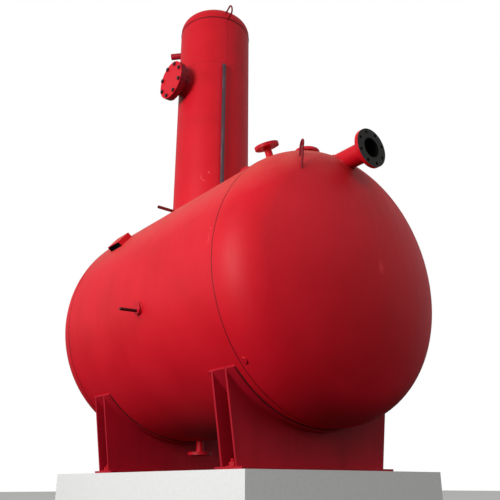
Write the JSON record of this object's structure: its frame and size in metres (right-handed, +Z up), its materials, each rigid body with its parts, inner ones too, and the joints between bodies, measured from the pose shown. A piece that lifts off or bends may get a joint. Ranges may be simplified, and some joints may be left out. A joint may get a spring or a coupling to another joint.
{
  "type": "deaerator",
  "caption": "Horizontal feedwater tank on two saddles with a vertical deaerating column on top, flanged nozzles, a bolted handhole, a thermowell and lifting lugs.",
  "frame": {"origin": "centre of the four anchor holes, on the floor at the underside of the saddle bases, below the tank's axis", "axes": "+X along the tank towards the head with the flanged nozzle, +Z up, so the column's handhole and the thermowell are on the -Y side"},
  "size_m": [2.3641, 1.6033, 3.3975],
  "materials": {
    "tank_shell": "smooth semi-gloss red enamel on steel plate",
    "front_head": "smooth semi-gloss red enamel on steel plate",
    "rear_head": "smooth semi-gloss red enamel on steel plate",
    "column_shell": "smooth semi-gloss red enamel on steel plate",
    "column_head": "smooth semi-gloss red enamel on steel plate",
    "handhole_neck": "smooth semi-gloss red enamel on steel plate",
    "handhole_flange": "smooth semi-gloss red enamel on steel plate",
    "handhole_cover": "smooth semi-gloss red enamel on steel plate",
    "vent_stub": "smooth semi-gloss red enamel on steel plate",
    "sampling_pipe": "bare grey-brown steel pipe",
    "foot_stub": "bare dark brown steel",
    "end_nozzle_pipe": "smooth semi-gloss red enamel on steel plate",
    "end_nozzle_flange": "near-black bare flange face, rim and back red",
    "top_nozzle_pipe": "smooth semi-gloss red enamel on steel plate",
    "top_nozzle_flange": "smooth semi-gloss red enamel on steel plate",
    "middle_nozzle_pipe": "smooth semi-gloss red enamel on steel plate",
    "middle_nozzle_flange": "smooth semi-gloss red enamel on steel plate",
    "side_nozzle_pipe": "smooth semi-gloss red enamel on steel plate",
    "side_nozzle_flange": "smooth semi-gloss red enamel on steel plate",
    "drain_pipe": "smooth semi-gloss red enamel on steel plate",
    "drain_flange": "smooth semi-gloss red enamel on steel plate",
    "thermowell_boss": "smooth semi-gloss red enamel on steel plate",
    "thermowell": "bare dark brown steel",
    "head_plug": "smooth semi-gloss red enamel on steel plate",
    "nameplate_bracket": "smooth semi-gloss red enamel on steel plate",
    "front_head_lug": "smooth semi-gloss red enamel on steel plate",
    "rear_head_lug": "smooth semi-gloss red enamel on steel plate",
    "column_front_lug": "smooth semi-gloss red enamel on steel plate",
    "column_rear_lug": "smooth semi-gloss red enamel on steel plate",
    "front_saddle_pad": "smooth semi-gloss red enamel on steel plate",
    "front_saddle_web_inner": "smooth semi-gloss red enamel on steel plate",
    "front_saddle_web_outer": "smooth semi-gloss red enamel on steel plate",
    "front_saddle_base": "smooth semi-gloss red enamel on steel plate",
    "rear_saddle_pad": "smooth semi-gloss red enamel on steel plate",
    "rear_saddle_web_inner": "smooth semi-gloss red enamel on steel plate",
    "rear_saddle_web_outer": "smooth semi-gloss red enamel on steel plate",
    "rear_saddle_base": "smooth semi-gloss red enamel on steel plate"
  },
  "bodies": {
    "root": {"tank_shell": "tank_shell", "front_head": "front_head", "rear_head": "rear_head", "column_shell": "column_shell", "column_head": "column_head", "handhole_neck": "handhole_neck", "handhole_flange": "handhole_flange", "handhole_cover": "handhole_cover", "vent_stub": "vent_stub", "sampling_pipe": "sampling_pipe", "foot_stub": "foot_stub", "end_nozzle_pipe": "end_nozzle_pipe", "end_nozzle_flange": "end_nozzle_flange", "top_nozzle_pipe": "top_nozzle_pipe", "top_nozzle_flange": "top_nozzle_flange", "middle_nozzle_pipe": "middle_nozzle_pipe", "middle_nozzle_flange": "middle_nozzle_flange", "side_nozzle_pipe": "side_nozzle_pipe", "side_nozzle_flange": "side_nozzle_flange", "drain_pipe": "drain_pipe", "drain_flange": "drain_flange", "thermowell_boss": "thermowell_boss", "thermowell": "thermowell", "head_plug": "head_plug", "nameplate_bracket": "nameplate_bracket", "front_head_lug": "front_head_lug", "rear_head_lug": "rear_head_lug", "column_front_lug": "column_front_lug", "column_rear_lug": "column_rear_lug", "front_saddle_pad": "front_saddle_pad", "front_saddle_web_inner": "front_saddle_web_inner", "front_saddle_web_outer": "front_saddle_web_outer", "front_saddle_base": "front_saddle_base", "rear_saddle_pad": "rear_saddle_pad", "rear_saddle_web_inner": "rear_saddle_web_inner", "rear_saddle_web_outer": "rear_saddle_web_outer", "rear_saddle_base": "rear_saddle_base"}
  },
  "joints": []
}
